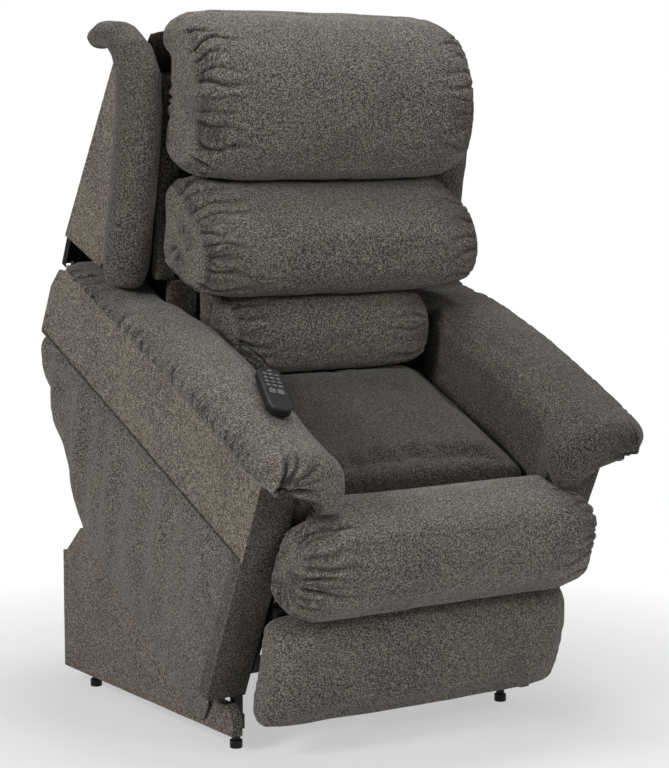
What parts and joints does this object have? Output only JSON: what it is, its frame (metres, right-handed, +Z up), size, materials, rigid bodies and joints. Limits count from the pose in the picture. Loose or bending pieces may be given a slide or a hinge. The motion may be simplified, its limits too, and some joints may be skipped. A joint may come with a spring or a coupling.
{
  "type": "lift recliner chair",
  "caption": "Powered lift recliner chair with rolled arms, winged three-roll back, leg rest, level base with lift curtain, and a corded handset; shown raised and tilted forward.",
  "frame": {"origin": "centre of the floor under the chair's bounding box", "axes": "+Z up, -Y the way the sitter faces, +X to the right of somebody who faces the chair's front"},
  "size_m": [0.95, 1.0759, 1.4816],
  "materials": {
    "fabric": "woven chenille upholstery",
    "steel": "black powder coat",
    "timber": "bare frame timber",
    "plastic": "fine textured",
    "keys": "soft touch"
  },
  "bodies": {
    "base": {"base_frame": "steel", "foot_front_left": "plastic", "foot_rear_left": "plastic", "foot_front_right": "plastic", "foot_rear_right": "plastic", "base_side_panel_left": "fabric", "base_side_panel_right": "fabric", "base_rear_panel": "fabric", "power_box": "plastic", "lift_curtain": "fabric"},
    "lift_arms": {"lift_arm_left": "steel", "lift_arm_right": "steel"},
    "lift_motor": {"lift_motor": "plastic"},
    "lift_rod": {"lift_rod": "steel"},
    "carriage": {"carriage_frame": "steel", "seat_frame": "timber", "arm_frame_left": "timber", "side_panel_left": "fabric", "arm_front_panel_left": "fabric", "arm_pad_left": "fabric", "arm_frame_right": "timber", "side_panel_right": "fabric", "arm_front_panel_right": "fabric", "arm_pad_right": "fabric", "seat_cushion": "fabric", "seat_front_roll": "fabric", "handset_case": "plastic", "handset_lead": "plastic"},
    "back": {"back_frame": "timber", "back_outer_panel": "fabric", "wing_side_panel_left": "fabric", "wing_roll_left": "fabric", "wing_side_panel_right": "fabric", "wing_roll_right": "fabric", "back_cushion_lower": "fabric", "back_cushion_middle": "fabric", "back_cushion_head": "fabric"},
    "recline_motor": {"recline_motor": "plastic"},
    "recline_rod": {"recline_rod": "steel"},
    "legrest_links": {"legrest_link_left": "steel", "legrest_link_right": "steel"},
    "legrest_bars": {"legrest_bar_left": "steel", "legrest_bar_right": "steel"},
    "legrest": {"legrest_board": "timber", "legrest_pad": "fabric"},
    "key_power": {"key_power": "keys"},
    "key_1": {"key_1": "keys"},
    "key_2": {"key_2": "keys"},
    "key_3": {"key_3": "keys"},
    "key_4": {"key_4": "keys"},
    "key_5": {"key_5": "keys"},
    "key_6": {"key_6": "keys"},
    "key_7": {"key_7": "keys"},
    "key_8": {"key_8": "keys"},
    "key_9": {"key_9": "keys"},
    "key_10": {"key_10": "keys"},
    "key_11": {"key_11": "keys"},
    "key_12": {"key_12": "keys"},
    "key_raise": {"key_raise": "keys"},
    "key_lower": {"key_lower": "keys"}
  },
  "joints": [
    {"name": "carriage_lowering", "type": "hinge", "parent": "base", "child": "carriage", "pos_m": [0, -0.45024, 0.22555], "axis": [-1, 0, 0], "range_deg": [0, 24.5], "deforming": ["lift_curtain"]},
    {"name": "lift_arm_swing", "type": "hinge", "parent": "base", "child": "lift_arms", "pos_m": [0, 0.0738, 0.059], "axis": [1, 0, 0], "range_deg": [0, 20.5]},
    {"name": "lift_motor_swing", "type": "hinge", "parent": "base", "child": "lift_motor", "pos_m": [0, 0.3864, 0.104], "axis": [1, 0, 0], "range_deg": [0, 17.56]},
    {"name": "lift_rod_travel", "type": "slide", "parent": "lift_motor", "child": "lift_rod", "axis": [0, 0.8807, -0.4737], "range_m": [0, 0.07484]},
    {"name": "back_recline", "type": "hinge", "parent": "carriage", "child": "back", "pos_m": [0, 0.30147, 0.69738], "axis": [-1, 0, 0], "range_deg": [0, 29]},
    {"name": "recline_motor_swing", "type": "hinge", "parent": "carriage", "child": "recline_motor", "pos_m": [0, -0.09739, 0.39583], "axis": [1, 0, 0], "range_deg": [0, 1.78]},
    {"name": "recline_rod_travel", "type": "slide", "parent": "recline_motor", "child": "recline_rod", "axis": [0, -0.9065, -0.4221], "range_m": [0, 0.05059]},
    {"name": "legrest_link_turn", "type": "hinge", "parent": "carriage", "child": "legrest_links", "pos_m": [0, -0.27196, 0.34484], "axis": [-1, 0, 0], "range_deg": [0, 123.61]},
    {"name": "legrest_bar_turn", "type": "hinge", "parent": "legrest_links", "child": "legrest_bars", "pos_m": [0, -0.09845, 0.23567], "axis": [1, 0, 0], "range_deg": [0, 128.33]},
    {"name": "legrest_panel_turn", "type": "hinge", "parent": "legrest_bars", "child": "legrest", "pos_m": [0, -0.30188, 0.21032], "axis": [-1, 0, 0], "range_deg": [0, 85.07]},
    {"name": "key_power_press", "type": "slide", "parent": "carriage", "child": "key_power", "axis": [-0.0653, 0.4886, -0.8701], "range_m": [0, 0.0008], "stiffness_N_per_m": 400},
    {"name": "key_1_press", "type": "slide", "parent": "carriage", "child": "key_1", "axis": [-0.0653, 0.4886, -0.8701], "range_m": [0, 0.0008], "stiffness_N_per_m": 400},
    {"name": "key_2_press", "type": "slide", "parent": "carriage", "child": "key_2", "axis": [-0.0653, 0.4886, -0.8701], "range_m": [0, 0.0008], "stiffness_N_per_m": 400},
    {"name": "key_3_press", "type": "slide", "parent": "carriage", "child": "key_3", "axis": [-0.0653, 0.4886, -0.8701], "range_m": [0, 0.0008], "stiffness_N_per_m": 400},
    {"name": "key_4_press", "type": "slide", "parent": "carriage", "child": "key_4", "axis": [-0.0653, 0.4886, -0.8701], "range_m": [0, 0.0008], "stiffness_N_per_m": 400},
    {"name": "key_5_press", "type": "slide", "parent": "carriage", "child": "key_5", "axis": [-0.0653, 0.4886, -0.8701], "range_m": [0, 0.0008], "stiffness_N_per_m": 400},
    {"name": "key_6_press", "type": "slide", "parent": "carriage", "child": "key_6", "axis": [-0.0653, 0.4886, -0.8701], "range_m": [0, 0.0008], "stiffness_N_per_m": 400},
    {"name": "key_7_press", "type": "slide", "parent": "carriage", "child": "key_7", "axis": [-0.0653, 0.4886, -0.8701], "range_m": [0, 0.0008], "stiffness_N_per_m": 400},
    {"name": "key_8_press", "type": "slide", "parent": "carriage", "child": "key_8", "axis": [-0.0653, 0.4886, -0.8701], "range_m": [0, 0.0008], "stiffness_N_per_m": 400},
    {"name": "key_9_press", "type": "slide", "parent": "carriage", "child": "key_9", "axis": [-0.0653, 0.4886, -0.8701], "range_m": [0, 0.0008], "stiffness_N_per_m": 400},
    {"name": "key_10_press", "type": "slide", "parent": "carriage", "child": "key_10", "axis": [-0.0653, 0.4886, -0.8701], "range_m": [0, 0.0008], "stiffness_N_per_m": 400},
    {"name": "key_11_press", "type": "slide", "parent": "carriage", "child": "key_11", "axis": [-0.0653, 0.4886, -0.8701], "range_m": [0, 0.0008], "stiffness_N_per_m": 400},
    {"name": "key_12_press", "type": "slide", "parent": "carriage", "child": "key_12", "axis": [-0.0653, 0.4886, -0.8701], "range_m": [0, 0.0008], "stiffness_N_per_m": 400},
    {"name": "key_raise_press", "type": "slide", "parent": "carriage", "child": "key_raise", "axis": [-0.0653, 0.4886, -0.8701], "range_m": [0, 0.0008], "stiffness_N_per_m": 400},
    {"name": "key_lower_press", "type": "slide", "parent": "carriage", "child": "key_lower", "axis": [-0.0653, 0.4886, -0.8701], "range_m": [0, 0.0008], "stiffness_N_per_m": 400}
  ],
  "couplings": [
    {"joint": "lift_arm_swing", "follows": "carriage_lowering", "ratio": 0.83673},
    {"joint": "lift_motor_swing", "follows": "carriage_lowering", "ratio": 0.71689},
    {"joint": "lift_rod_travel", "follows": "carriage_lowering", "m_per_rad": 0.17501},
    {"joint": "recline_motor_swing", "follows": "back_recline", "ratio": 0.061353},
    {"joint": "recline_rod_travel", "follows": "back_recline", "m_per_rad": 0.099941},
    {"joint": "legrest_link_turn", "follows": "back_recline", "ratio": 4.2623},
    {"joint": "legrest_bar_turn", "follows": "back_recline", "ratio": 4.4251},
    {"joint": "legrest_panel_turn", "follows": "back_recline", "ratio": 2.9335}
  ]
}
